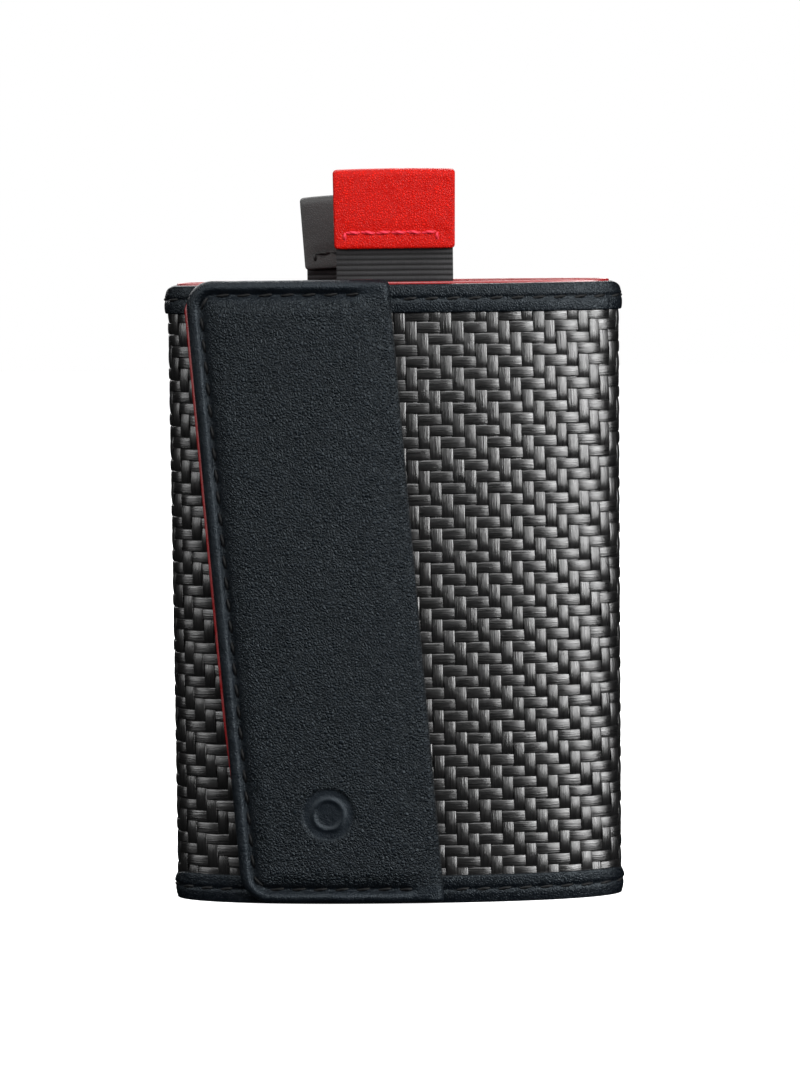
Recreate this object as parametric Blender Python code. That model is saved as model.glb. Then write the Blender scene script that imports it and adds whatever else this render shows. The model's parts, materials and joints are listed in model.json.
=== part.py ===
"""Slim upright card wallet: a woven sleeve with leather trims, two card pockets, two pull tabs on
ribbons that lift the cards, and a slanted magnetic flap on the front.

Frame: +X to the right, +Y to the back, +Z up, in metres. The origin is the centre of the flat base.
"""

import math

import bmesh
import bpy
from mathutils import Matrix, Vector

MM = 0.001

# A bank card stands in each pocket on its short edge, so it sets the size of the wallet.
CARD_WIDTH = 54.0 * MM
CARD_HEIGHT = 85.6 * MM

# The sleeve. Its plan is a superellipse, and "inset" is a distance in from the outside of the trims.
HALF_WIDTH = CARD_WIDTH / 2 + 7.2 * MM
HALF_DEPTH = 8.6 * MM
ROUNDNESS = 2.3
TRIM_TOP = CARD_HEIGHT + 6.8 * MM
LINING_TOP = TRIM_TOP + 0.6 * MM
TRIM_HEIGHT = 4.2 * MM
TURNED_EDGE = 2.6 * MM
CORNER_RADIUS = 2.0 * MM
GAP = 0.2 * MM
OUTLINE_STEPS = 72

# Each layer of the wall, as inset of its outer face and its thickness.
TRIM_LAYER = (0.0 * MM, 0.5 * MM)
PANEL_LAYER = (0.7 * MM, 0.6 * MM)
BOARD_LAYER = (1.5 * MM, 0.3 * MM)
LINING_LAYER = (2.0 * MM, 0.5 * MM)
BASE_THICKNESS = 1.4 * MM
DIVIDER_THICKNESS = 0.7 * MM
DIVIDER_TOP = TRIM_TOP - 3.0 * MM
SIDE_SEAM = 0.3 * MM

# Ribbons and tabs. The red tab serves the front pocket and the black tab the rear one.
RIBBON_WIDTH = 17.2 * MM
RIBBON_THICKNESS = 0.3 * MM
RIBBON_CLEARANCE = 0.1 * MM
FRONT_PULL = (0.3 * MM, -5.6 * MM)
REAR_PULL = (-4.3 * MM, 5.4 * MM)
ANCHOR_TOP = 84.0 * MM
TACK_THICKNESS = 0.15 * MM
TACK_HEIGHT = 1.2 * MM
TACK_SIDE_MARGIN = 1.5 * MM
TACK_DROP = 2.5 * MM
TAB_LEATHER = 0.8 * MM
TAB_WIDTH = 18.0 * MM
RED_TAB_SPAN = (97.6 * MM, 109.4 * MM)
BLACK_TAB_SPAN = (94.8 * MM, 105.8 * MM)
TAB_SEAM_RISE = 2.6 * MM
TAB_SEAM_MARGIN = 1.0 * MM
THREAD_RADIUS = 0.15 * MM

# The flap is a slanted strip. Its hinge edge leans to the left as it rises.
FLAP_WIDTH = 30.2 * MM
FLAP_BOTTOM = 0.4 * MM
FLAP_TOP = LINING_TOP
FLAP_CORNER = 3.8 * MM
HINGE_X_LOW = 5.65 * MM
HINGE_X_HIGH = -1.65 * MM
ROLL_RADIUS = 1.05 * MM
HINGE_STANDOFF = 1.25 * MM
FLAP_LINING_STANDOFF = (0.3 * MM, 0.45 * MM)
FLAP_BOARD_STANDOFF = (0.95 * MM, 0.4 * MM)
FLAP_LEATHER_STANDOFF = (1.55 * MM, 0.8 * MM)
FLAP_FLATNESS = 2.4 * MM
FLAP_SEAM_INSET = 2.3 * MM
FLAP_SEAM_END = 1.5 * MM
FLAP_SEAM_STEP = 4.0 * MM
FLAP_BOARD_MARGIN = 1.2 * MM
FLAP_ANGLES = (186.0, 292.0)
RED_EDGE = 0.45 * MM
MAGNET_RADIUS = 3.0 * MM
MAGNET_THICKNESS = 0.4 * MM
MAGNET_CLEARANCE = 0.6 * MM
MAGNET_HOLE_DEPTH = 3.0 * MM
MAGNET_INSET = 8.0 * MM
MAGNET_HEIGHTS = {"lower": 27.0 * MM, "upper": 68.0 * MM}
MARK_RADIUS = 3.9 * MM
MARK_CUT = 0.5 * MM
MARK_X = -10.5 * MM
MARK_Z = 14.0 * MM
HINGE_STRIP_THICKNESS = 0.4 * MM
HINGE_STRIP_WIDTH = 9.0 * MM
HINGE_STRIP_ANGLES = (240.0, 290.0)

# Stitching round the trims, and how far cutters reach past what they cut.
TOP_SEAM_DROP = 2.3 * MM
BOTTOM_SEAM_RISE = 2.1 * MM
CUTTER_MARGIN = 1.0 * MM
CUTTER_DEPTH = 30.0 * MM

COLOURS = {
    "carbon_weave": ((0.045, 0.045, 0.048), 0.38, 0.0),
    "black_leather": ((0.018, 0.020, 0.023), 0.55, 0.0),
    "red_leather": ((0.58, 0.014, 0.010), 0.50, 0.0),
    "red_lining": ((0.42, 0.012, 0.014), 0.55, 0.0),
    "black_ribbon": ((0.026, 0.025, 0.028), 0.70, 0.0),
    "black_thread": ((0.012, 0.013, 0.014), 0.60, 0.0),
    "red_thread": ((0.65, 0.03, 0.06), 0.50, 0.0),
    "divider_fabric": ((0.02, 0.02, 0.022), 0.80, 0.0),
    "shield_board": ((0.50, 0.50, 0.52), 0.35, 0.9),
    "magnet_steel": ((0.55, 0.55, 0.57), 0.30, 1.0),
}


# ---------------------------------------------------------------- scene and materials


def clear_scene():
    for item in list(bpy.data.objects):
        bpy.data.objects.remove(item)


def new_collection(name):
    made = bpy.data.collections.new(name)
    bpy.context.scene.collection.children.link(made)
    return made


def material(name):
    """The Principled material of that name, made the first time it is asked for."""
    found = bpy.data.materials.get(name)
    if found:
        return found
    colour, roughness, metallic = COLOURS[name]
    made = bpy.data.materials.new(name)
    made.use_nodes = True
    shader = made.node_tree.nodes["Principled BSDF"]
    shader.inputs["Base Color"].default_value = (*colour, 1.0)
    shader.inputs["Roughness"].default_value = roughness
    shader.inputs["Metallic"].default_value = metallic
    return made


def add_part(name, mesh, material_name, origin=(0, 0, 0)):
    """Puts a mesh, given in wallet coordinates, in the parts collection with its origin at a point."""
    mesh.name = name
    mesh.transform(Matrix.Translation(-Vector(origin)))
    mesh.materials.clear()
    mesh.materials.append(material(material_name))
    part = bpy.data.objects.new(name, mesh)
    part.location = origin
    parts.objects.link(part)
    return part


def add_cutter(name, mesh):
    cutter = bpy.data.objects.new(name, mesh)
    cutter.hide_render = True
    cutter.display_type = "WIRE"
    cutters.objects.link(cutter)
    return cutter


def boolean(part, cutter, operation):
    """Adds a Boolean modifier. The cutter stays in the cutters collection."""
    step = part.modifiers.new(operation.lower() + "_" + cutter.name, "BOOLEAN")
    step.operation = operation
    step.object = cutter
    return step


# ---------------------------------------------------------------- curves made into meshes


def curve_mesh(*lines, cyclic=True, extrude=0.0, tube_radius=0.0):
    """A mesh from poly splines: a plate if extruded, with any inner line a hole, or a round thread."""
    curve = bpy.data.curves.new("outline", "CURVE")
    curve.dimensions = "3D" if tube_radius else "2D"
    curve.fill_mode = "FULL" if tube_radius else "BOTH"
    curve.extrude = extrude
    curve.bevel_depth = tube_radius
    curve.bevel_resolution = 1
    curve.use_fill_caps = tube_radius > 0
    for line in lines:
        spline = curve.splines.new("POLY")
        spline.points.add(len(line) - 1)
        for slot, point in zip(spline.points, line):
            slot.co = (*point, 0.0, 1.0) if len(point) == 2 else (*point, 1.0)
        spline.use_cyclic_u = cyclic
    holder = bpy.data.objects.new("outline", curve)
    mesh = bpy.data.meshes.new_from_object(holder)
    bpy.data.objects.remove(holder)
    shape = bmesh.new()
    shape.from_mesh(mesh)
    bmesh.ops.remove_doubles(shape, verts=shape.verts, dist=0.00001)
    bmesh.ops.recalc_face_normals(shape, faces=shape.faces)
    shape.to_mesh(mesh)
    shape.free()
    return mesh


def plate_mesh(points, thickness, plane="XZ", centre=0.0):
    """A flat plate of an outline. XZ and YZ plates have their thickness along Y and X."""
    mesh = curve_mesh(points, extrude=thickness / 2)
    if plane == "XZ":
        mesh.transform(Matrix.Translation((0, centre, 0)) @ Matrix.Rotation(math.pi / 2, 4, "X"))
    elif plane == "YZ":
        turned = Matrix(((0, 0, 1, 0), (1, 0, 0, 0), (0, 1, 0, 0), (0, 0, 0, 1)))
        mesh.transform(Matrix.Translation((centre, 0, 0)) @ turned)
    else:
        mesh.transform(Matrix.Translation((0, 0, centre)))
    return mesh


def disc_mesh(radius, thickness, centre, normal):
    """A round disc whose axis is the normal."""
    shape = bmesh.new()
    bmesh.ops.create_cone(
        shape, cap_ends=True, segments=24, radius1=radius, radius2=radius, depth=thickness
    )
    mesh = bpy.data.meshes.new("disc")
    shape.to_mesh(mesh)
    shape.free()
    turn = Vector((0, 0, 1)).rotation_difference(Vector(normal)).to_matrix().to_4x4()
    mesh.transform(Matrix.Translation(centre) @ turn)
    return mesh


def arc(centre, radius, first, last, steps):
    """Points of an arc in a plane, with angles in degrees."""
    turns = [math.radians(first + (last - first) * i / steps) for i in range(steps + 1)]
    return [(centre[0] + radius * math.cos(t), centre[1] + radius * math.sin(t)) for t in turns]


# ---------------------------------------------------------------- the sleeve's plan


def plan_point(turn, inset, flatness=0.0):
    """A point of the sleeve's plan at an angle in degrees: 0 at the right, 270 at the front."""
    t = math.radians(turn)
    power = 2 / ROUNDNESS
    x = math.copysign(abs(math.cos(t)) ** power, math.cos(t))
    y = math.copysign(abs(math.sin(t)) ** power, math.sin(t))
    return (x * (HALF_WIDTH - inset + flatness), y * (HALF_DEPTH - inset))


def plan(inset, first=0.0, last=360.0, flatness=0.0):
    """Points of the plan between two angles. All layers share the angles, so their facets line up."""
    step = 360.0 / OUTLINE_STEPS
    if last - first >= 360:
        return [plan_point(i * step, inset, flatness) for i in range(OUTLINE_STEPS)]
    between = range(math.floor(first / step) + 1, math.ceil(last / step))
    turns = [i * step for i in between if first + step / 3 < i * step < last - step / 3]
    return [plan_point(turn, inset, flatness) for turn in [first, *turns, last]]


def front_y(x, inset, flatness=0.0):
    """The depth of the front face of a layer at a distance from the middle."""
    share = min(1.0, abs(x) / (HALF_WIDTH - inset + flatness))
    return -(HALF_DEPTH - inset) * (1 - share**ROUNDNESS) ** (1 / ROUNDNESS)


def front_normal(x, inset, flatness=0.0):
    """The outward normal of the front face at a distance from the middle."""
    step = 0.1 * MM
    slope = (front_y(x + step, inset, flatness) - front_y(x - step, inset, flatness)) / (2 * step)
    return Vector((slope, -1.0, 0.0)).normalized()


def corner_dip(x):
    """How far the top and bottom edges of the sleeve curve away at its two sides."""
    past = abs(x) - (HALF_WIDTH - CORNER_RADIUS)
    if past <= 0:
        return 0.0
    return CORNER_RADIUS - math.sqrt(max(0.0, CORNER_RADIUS**2 - past**2))


def shell_mesh(inset, thickness, bottom, top, first=0.0, last=360.0, flatness=0.0, dips=(False, False)):
    """An upright wall along the plan. Dips round off the sides of its bottom and top edges."""
    outer = plan(inset, first, last, flatness)
    inner = plan(inset + thickness, first, last, flatness)
    lines = [outer, inner] if last - first >= 360 else [outer + inner[::-1]]
    mesh = curve_mesh(*lines, extrude=(top - bottom) / 2)
    middle = (top + bottom) / 2
    for vertex in mesh.vertices:
        is_top = vertex.co.z > 0
        vertex.co.z += middle
        if is_top and dips[1]:
            vertex.co.z -= corner_dip(vertex.co.x)
        if dips[0] and not is_top:
            vertex.co.z += corner_dip(vertex.co.x)
    return mesh


def seam_angle(layer):
    """The angle on the plan that leaves half the side seam between a front and a back layer."""
    inset, thickness = layer
    reach = (SIDE_SEAM / 2) / (HALF_DEPTH - inset - thickness)
    return math.degrees(math.asin(reach ** (ROUNDNESS / 2)))


def half_wall(name, side, layer, bottom, top, material_name, dips=(False, False)):
    """The front or the back half of a layer."""
    start = 180.0 if side == "front" else 0.0
    seam = seam_angle(layer)
    mesh = shell_mesh(*layer, bottom, top, start + seam, start + 180 - seam, dips=dips)
    return add_part(name, mesh, material_name)


# ---------------------------------------------------------------- the sleeve's parts


def make_trim(name, bottom, top, recess_bottom, recess_top, dips):
    """A leather band round the sleeve. Its free edge is turned in over the end of the panels."""
    inset, skin = TRIM_LAYER
    depth = LINING_LAYER[0] - GAP - inset
    part = add_part(name, shell_mesh(inset, depth, bottom, top, dips=dips), "black_leather")
    middle = (recess_top + recess_bottom) / 2
    recess = plate_mesh(plan(inset + skin), recess_top - recess_bottom, "XY", middle)
    boolean(part, add_cutter(name + "_recess", recess), "DIFFERENCE")


def make_sleeve():
    panel_bottom = TURNED_EDGE + GAP
    panel_top = TRIM_TOP - TURNED_EDGE - GAP
    lining_bottom = BASE_THICKNESS + GAP
    for side in ("front", "back"):
        half_wall(side + "_panel", side, PANEL_LAYER, panel_bottom, panel_top, "carbon_weave")
        half_wall(side + "_lining", side, LINING_LAYER, lining_bottom, LINING_TOP, "red_lining")
    trim_low = TRIM_TOP - TRIM_HEIGHT
    below = trim_low - CUTTER_MARGIN
    above = TRIM_HEIGHT + CUTTER_MARGIN
    make_trim("top_trim", trim_low, TRIM_TOP, below, TRIM_TOP - TURNED_EDGE, (False, True))
    make_trim("bottom_trim", 0.0, TRIM_HEIGHT, TURNED_EDGE, above, (True, False))
    base = plate_mesh(plan(LINING_LAYER[0] + GAP), BASE_THICKNESS, "XY", BASE_THICKNESS / 2)
    add_part("base_panel", base, "black_leather")


def make_divider():
    """The sheet between the two card pockets."""
    half = HALF_WIDTH - LINING_LAYER[0] - LINING_LAYER[1] - 0.5 * MM
    low = BASE_THICKNESS + GAP
    radius = 3.0 * MM
    outline = [(-half, low), (half, low)]
    outline += arc((half - radius, DIVIDER_TOP - radius), radius, 0, 90, 4)
    outline += arc((radius - half, DIVIDER_TOP - radius), radius, 90, 180, 4)
    add_part("pocket_divider", plate_mesh(outline, DIVIDER_THICKNESS), "divider_fabric")


def magnet_x(height):
    """The magnets lie in a row beside the free edge of the flap."""
    return hinge_x(height) + ROLL_RADIUS - FLAP_WIDTH + MAGNET_INSET


def add_magnets(board, name, layer_inset, flatness, origin=None):
    """The magnets of a board, flat discs that lie in holes cut through it."""
    for place, height in MAGNET_HEIGHTS.items():
        x = magnet_x(height)
        centre = Vector((x, front_y(x, layer_inset, flatness), height))
        normal = front_normal(x, layer_inset, flatness)
        hole = disc_mesh(MAGNET_RADIUS + MAGNET_CLEARANCE, MAGNET_HOLE_DEPTH, centre, normal)
        boolean(board, add_cutter(f"{name}_hole_{place}", hole), "DIFFERENCE")
        disc = disc_mesh(MAGNET_RADIUS, MAGNET_THICKNESS, centre, normal)
        add_part(f"{name}_magnet_{place}", disc, "magnet_steel", origin or centre)


def make_boards():
    """Thin shielding boards inside the walls. The front one has a hole for each magnet."""
    low = TRIM_HEIGHT
    high = TRIM_TOP - TRIM_HEIGHT
    half_wall("back_shield_board", "back", BOARD_LAYER, low, high, "shield_board")
    front = half_wall("front_shield_board", "front", BOARD_LAYER, low, high, "shield_board")
    middle_of_wall = (PANEL_LAYER[0] + PANEL_LAYER[1] + LINING_LAYER[0]) / 2
    add_magnets(front, "body", middle_of_wall, 0.0)


# ---------------------------------------------------------------- ribbons and tabs


def ribbon_strip(name, x, y, bottom, top, material_name="black_ribbon"):
    """A straight upright run of ribbon."""
    half = RIBBON_WIDTH / 2
    outline = [(x - half, bottom), (x + half, bottom), (x + half, top), (x - half, top)]
    add_part(name, plate_mesh(outline, RIBBON_THICKNESS, "XZ", y), material_name, (x, y, bottom))


def ribbon_loop(name, x, y_front, y_back):
    """The bend of ribbon that passes under the cards. It returns the height of the bend's ends."""
    middle = (y_front + y_back) / 2
    outer = abs(y_back - y_front) / 2 + RIBBON_THICKNESS / 2
    inner = outer - RIBBON_THICKNESS
    height = BASE_THICKNESS + GAP + outer
    outline = arc((middle, height), outer, 180, 360, 14) + arc((middle, height), inner, 360, 180, 14)
    add_part(name, plate_mesh(outline, RIBBON_WIDTH, "YZ", x), "black_ribbon", (x, middle, height))
    return height


def tab_leather(name, x, y, bottom, top, material_name):
    """A strip of leather folded over the end of a ribbon, open at its sides and its foot."""
    outer = RIBBON_THICKNESS / 2 + GAP + TAB_LEATHER
    inner = RIBBON_THICKNESS / 2 + GAP
    outline = arc((y, top - outer), outer, 0, 180, 10) + [(y - outer, bottom), (y - inner, bottom)]
    outline += arc((y, top - outer), inner, 180, 0, 6) + [(y + inner, bottom), (y + outer, bottom)]
    return add_part(name, plate_mesh(outline, TAB_WIDTH, "YZ", x), material_name, (x, y, bottom))


def tab_stitching(name, x, y, height, material_name):
    """The row of thread across the front of a tab."""
    face = y - RIBBON_THICKNESS / 2 - GAP - TAB_LEATHER
    depth = face - GAP / 2 - THREAD_RADIUS
    reach = TAB_WIDTH / 2 - TAB_SEAM_MARGIN
    points = [(x - reach, depth, height), (x, depth, height), (x + reach, depth, height)]
    add_part(name, curve_mesh(points, cyclic=False, tube_radius=THREAD_RADIUS), material_name)


def ribbon_tack(name, x, y, height):
    """The bar of thread that sews the fixed end of a ribbon down."""
    half = RIBBON_WIDTH / 2 - TACK_SIDE_MARGIN
    low = height - TACK_HEIGHT / 2
    high = height + TACK_HEIGHT / 2
    outline = [(x - half, low), (x + half, low), (x + half, high), (x - half, high)]
    add_part(name, plate_mesh(outline, TACK_THICKNESS, "XZ", y), "black_thread")


def make_pull(pocket, colour, place, y_anchor, tab_span, tack_side):
    """One ribbon, as its pulled run, its loop and its sewn run, with the tab on its free end."""
    x, y_pull = place
    tab_bottom, tab_top = tab_span
    ends = ribbon_loop(pocket + "_ribbon_loop", x, min(y_pull, y_anchor), max(y_pull, y_anchor))
    low = ends + GAP
    high = tab_top - TAB_LEATHER - 2 * GAP - RIBBON_THICKNESS
    ribbon_strip(pocket + "_ribbon_pull", x, y_pull, low, high)
    ribbon_strip(pocket + "_ribbon_sewn_run", x, y_anchor, low, ANCHOR_TOP)
    tack_y = y_anchor + tack_side * ((RIBBON_THICKNESS + TACK_THICKNESS) / 2 + RIBBON_CLEARANCE)
    ribbon_tack(pocket + "_ribbon_tack", x, tack_y, ANCHOR_TOP - TACK_DROP)
    tab_leather(colour + "_tab", x, y_pull, tab_bottom, tab_top, colour + "_leather")
    tab_stitching(colour + "_tab_stitching", x, y_pull, tab_bottom + TAB_SEAM_RISE, colour + "_thread")


def make_pulls():
    beside_divider = (DIVIDER_THICKNESS + RIBBON_THICKNESS) / 2 + RIBBON_CLEARANCE
    make_pull("front", "red", FRONT_PULL, -beside_divider, RED_TAB_SPAN, -1)
    make_pull("rear", "black", REAR_PULL, beside_divider, BLACK_TAB_SPAN, 1)


# ---------------------------------------------------------------- the flap


def hinge_x(height):
    """Where the hinge line is at a height."""
    return HINGE_X_LOW + (HINGE_X_HIGH - HINGE_X_LOW) * height / LINING_TOP


def hinge_point(height):
    return Vector((hinge_x(height), -(HALF_DEPTH + HINGE_STANDOFF), height))


def flap_outline(right_shift, grow_left=0.0, inset=0.0):
    """The flap seen from the front: two slanted sides and two round corners at the free edge."""
    low = FLAP_BOTTOM + inset
    high = FLAP_TOP - inset
    radius = FLAP_CORNER - inset
    slant = math.degrees(math.atan2(HINGE_X_LOW - HINGE_X_HIGH, LINING_TOP))

    def left(height):
        return hinge_x(height) + ROLL_RADIUS - FLAP_WIDTH - grow_left + inset

    top_centre = (left(high - radius) + radius / math.cos(math.radians(slant)), high - radius)
    low_centre = (left(low + radius) + radius / math.cos(math.radians(slant)), low + radius)
    points = [(hinge_x(low) + right_shift, low), (hinge_x(high) + right_shift, high)]
    points += arc(top_centre, radius, 90, 180 + slant, 6)
    points += arc(low_centre, radius, 180 + slant, 270, 6)
    return points


def front_cutter(name, outline):
    """A deep plate in front of the sleeve's middle, which trims a layer to an outline."""
    return add_cutter(name, plate_mesh(outline, CUTTER_DEPTH, "XZ", -CUTTER_DEPTH / 2 - CUTTER_MARGIN))


def flap_layer(name, standoff, thickness, outline, material_name):
    """A curved sheet that follows the front of the sleeve, cut to an outline."""
    low = FLAP_BOTTOM - CUTTER_MARGIN
    high = FLAP_TOP + CUTTER_MARGIN
    mesh = shell_mesh(-(standoff + thickness), thickness, low, high, *FLAP_ANGLES, FLAP_FLATNESS)
    part = add_part(name, mesh, material_name, hinge_point(0))
    cutter = front_cutter(name + "_outline", outline)
    boolean(part, cutter, "INTERSECT")
    return part


def flap_seam_points():
    """The line of stitches round the free sides of the flap, on its outer face."""
    outline = flap_outline(-FLAP_SEAM_END, inset=FLAP_SEAM_INSET)
    face = FLAP_LEATHER_STANDOFF[0] + FLAP_LEATHER_STANDOFF[1] + GAP / 2 + THREAD_RADIUS
    route = outline[1:] + outline[:1]
    points = []
    for (x0, z0), (x1, z1) in zip(route, route[1:]):
        pieces = max(1, round(math.dist((x0, z0), (x1, z1)) / FLAP_SEAM_STEP))
        points += [(x0 + (x1 - x0) * i / pieces, z0 + (z1 - z0) * i / pieces) for i in range(pieces)]
    points.append(route[-1])
    return [(x, front_y(x, -face, FLAP_FLATNESS), z) for x, z in points]


def hinge_roll_mesh(radius, low, high):
    """A rod along the slanted hinge line, cut level at both ends."""
    shape = bmesh.new()
    bmesh.ops.create_cone(shape, cap_ends=True, segments=24, radius1=radius, radius2=radius, depth=1.0)
    mesh = bpy.data.meshes.new("roll")
    shape.to_mesh(mesh)
    shape.free()
    for vertex in mesh.vertices:
        end = hinge_point(high if vertex.co.z > 0 else low)
        vertex.co = Vector((end.x + vertex.co.x, end.y + vertex.co.y, end.z))
    return mesh


def make_flap():
    seam_side = -ROLL_RADIUS - GAP
    leather = flap_layer("flap_leather", *FLAP_LEATHER_STANDOFF, flap_outline(0.0), "black_leather")
    roll = add_cutter("hinge_roll", hinge_roll_mesh(ROLL_RADIUS, FLAP_BOTTOM, FLAP_TOP))
    boolean(leather, roll, "UNION")
    mark_normal = front_normal(MARK_X, 0.0)
    outer = FLAP_LEATHER_STANDOFF[0] + FLAP_LEATHER_STANDOFF[1]
    face = Vector((MARK_X, front_y(MARK_X, -outer, FLAP_FLATNESS), MARK_Z))
    mark = add_cutter("stamped_mark", disc_mesh(MARK_RADIUS, MARK_CUT, face, mark_normal))
    boolean(leather, mark, "DIFFERENCE")

    lining_outline = flap_outline(seam_side, grow_left=RED_EDGE)
    flap_layer("flap_lining", *FLAP_LINING_STANDOFF, lining_outline, "red_lining")

    board_outline = flap_outline(seam_side, inset=FLAP_SEAM_INSET + FLAP_BOARD_MARGIN)
    board = flap_layer("flap_board", *FLAP_BOARD_STANDOFF, board_outline, "shield_board")
    middle_of_board = -(FLAP_BOARD_STANDOFF[0] + FLAP_BOARD_STANDOFF[1] / 2)
    add_magnets(board, "flap", middle_of_board, FLAP_FLATNESS, hinge_point(0))

    thread = curve_mesh(flap_seam_points(), cyclic=False, tube_radius=THREAD_RADIUS)
    add_part("flap_stitching", thread, "black_thread")


def make_hinge_strip():
    """The leather strip under the flap that is sewn to the front panel and carries the hinge fold."""
    low = TRIM_HEIGHT + GAP
    high = TRIM_TOP - TRIM_HEIGHT - GAP
    inset = PANEL_LAYER[0] - GAP - HINGE_STRIP_THICKNESS
    mesh = shell_mesh(inset, HINGE_STRIP_THICKNESS, 0.0, TRIM_TOP, *HINGE_STRIP_ANGLES)
    part = add_part("hinge_strip", mesh, "black_leather")
    outline = [
        (hinge_x(low) - HINGE_STRIP_WIDTH, low),
        (hinge_x(low) + ROLL_RADIUS / 2, low),
        (hinge_x(high) + ROLL_RADIUS / 2, high),
        (hinge_x(high) - HINGE_STRIP_WIDTH, high),
    ]
    cutter = front_cutter("hinge_strip_outline", outline)
    boolean(part, cutter, "INTERSECT")


# ---------------------------------------------------------------- stitching round the trims


def trim_stitching(name, height):
    """Thread round a trim, from the right of the hinge, past the back, to the flap's free edge."""
    hinge_side = hinge_x(height) + 2 * ROLL_RADIUS
    free_side = hinge_x(height) - FLAP_WIDTH
    inset = TRIM_LAYER[0] - GAP / 2 - THREAD_RADIUS
    every = 360.0 / OUTLINE_STEPS
    points = []
    for i in range(OUTLINE_STEPS):
        x, y = plan_point(i * every - 90, inset)
        under_flap = y < 0 and free_side < x < hinge_side
        if not under_flap:
            points.append((x, y, height))
    add_part(name, curve_mesh(points, cyclic=False, tube_radius=THREAD_RADIUS), "black_thread")


clear_scene()
parts = new_collection("card_wallet")
cutters = new_collection("cutters")
make_sleeve()
make_divider()
make_boards()
make_pulls()
make_hinge_strip()
make_flap()
trim_stitching("top_trim_stitching", TRIM_TOP - TOP_SEAM_DROP)
trim_stitching("bottom_trim_stitching", BOTTOM_SEAM_RISE)
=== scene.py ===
"""Looks of the slim card wallet: woven carbon sleeve, stitched leather trims and flap, red lining,
and two pull tabs on ribbed ribbons.

Everything is in metres in the model's frame: +X right, +Y to the back, +Z up, base at z = 0.
"""

import json
import math

import bmesh
import bpy
import numpy as np
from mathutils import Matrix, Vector

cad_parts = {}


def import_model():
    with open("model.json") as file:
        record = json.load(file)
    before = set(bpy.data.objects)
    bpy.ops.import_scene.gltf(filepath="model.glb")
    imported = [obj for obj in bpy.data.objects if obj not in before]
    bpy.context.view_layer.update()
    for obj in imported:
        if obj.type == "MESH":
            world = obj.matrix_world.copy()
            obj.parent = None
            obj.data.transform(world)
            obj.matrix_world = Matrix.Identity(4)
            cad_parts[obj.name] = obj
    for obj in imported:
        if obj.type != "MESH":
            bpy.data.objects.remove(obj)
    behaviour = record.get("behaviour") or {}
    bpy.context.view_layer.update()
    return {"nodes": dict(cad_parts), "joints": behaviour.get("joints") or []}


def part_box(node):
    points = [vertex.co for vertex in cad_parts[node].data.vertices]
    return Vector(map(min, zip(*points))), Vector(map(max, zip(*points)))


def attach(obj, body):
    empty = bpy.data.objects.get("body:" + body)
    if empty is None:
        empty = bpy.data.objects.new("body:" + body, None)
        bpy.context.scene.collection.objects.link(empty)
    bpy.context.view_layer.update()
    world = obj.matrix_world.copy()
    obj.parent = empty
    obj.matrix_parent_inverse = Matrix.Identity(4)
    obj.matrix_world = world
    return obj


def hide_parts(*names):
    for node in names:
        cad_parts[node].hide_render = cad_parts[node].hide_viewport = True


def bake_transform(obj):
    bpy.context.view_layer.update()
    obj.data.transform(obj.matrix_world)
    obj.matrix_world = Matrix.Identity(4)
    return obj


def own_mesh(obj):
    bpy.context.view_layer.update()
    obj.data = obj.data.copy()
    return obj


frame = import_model()

MM = 0.001


def size_of(node):
    """Lowest and highest corners of a node, as two arrays."""
    low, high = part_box(node)
    return np.array(low), np.array(high)


# ---- measures taken from the frame

ROUNDNESS = 2.3
TRIM_BASE, BOTTOM_TRIM_TOP = size_of("bottom_trim")
TOP_TRIM_FOOT, TRIM_TOP = size_of("top_trim")
HALF_WIDTH = TRIM_TOP[0]
HALF_DEPTH = TRIM_TOP[1]
CORNER_RADIUS = 2.0 * MM
LINING_FOOT, LINING_TOP = size_of("front_lining")
LINING_INSET = HALF_WIDTH - LINING_TOP[0]
LINING_THICKNESS = 0.5 * MM
LINING_DROP = 0.25 * MM
TURNED_DEPTH = LINING_INSET - 0.2 * MM
TURNED_HEIGHT = 2.6 * MM
MOUTH_TILT = 0.2 * MM
FOOT_TILT = -0.35 * MM
WALL_STEPS = 360
END_CROWDING = 0.252

HINGE = next(joint for joint in frame["joints"] if joint["name"] == "flap_hinge")
HINGE_BASE = np.array(HINGE["pos_m"])
HINGE_AXIS = np.array(HINGE["axis"])
ROLL_RADIUS = 1.05 * MM
ROLL_STANDOFF = -HINGE_BASE[1] - HALF_DEPTH
FLAP_LOW, FLAP_HIGH = size_of("flap_leather")
FLAP_RISE = 0.2 * MM
FLAP_BOTTOM = FLAP_LOW[2]
FLAP_TOP = FLAP_HIGH[2] + FLAP_RISE
FLAP_WIDTH = 30.2 * MM
FLAP_FLATNESS = 2.4 * MM
FLAP_CORNER = 4.3 * MM
SEAM_INSET = 2.15 * MM

PITCH = 1.7 * MM
MARK_X = -10.5 * MM
MARK_Z = 14.0 * MM
MARK_RADIUS = 3.9 * MM
STITCH_PITCH = 3.2 * MM
RIB_PITCH = 0.78 * MM
RIB_DEPTH = 0.20 * MM
RIBBON_HALF = 0.09 * MM
THREAD_RADIUS = 0.24 * MM
STITCH_STEPS = 9
THREAD_SIDES = 8


# ---- mesh building

WELD = 0.002 * MM


def add_piece(name, mesh, material, body, replaced=(), smooth_angle=50):
    """Links a mesh as a piece of the wallet, riding on a body."""
    mesh.name = name
    mesh.materials.append(material)
    mesh.shade_smooth()
    mesh.set_sharp_from_angle(angle=math.radians(smooth_angle))
    piece = bpy.data.objects.new(name, mesh)
    bpy.context.scene.collection.objects.link(piece)
    if body:
        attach(piece, body)
    if replaced:
        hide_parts(*replaced)
    return piece


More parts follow.
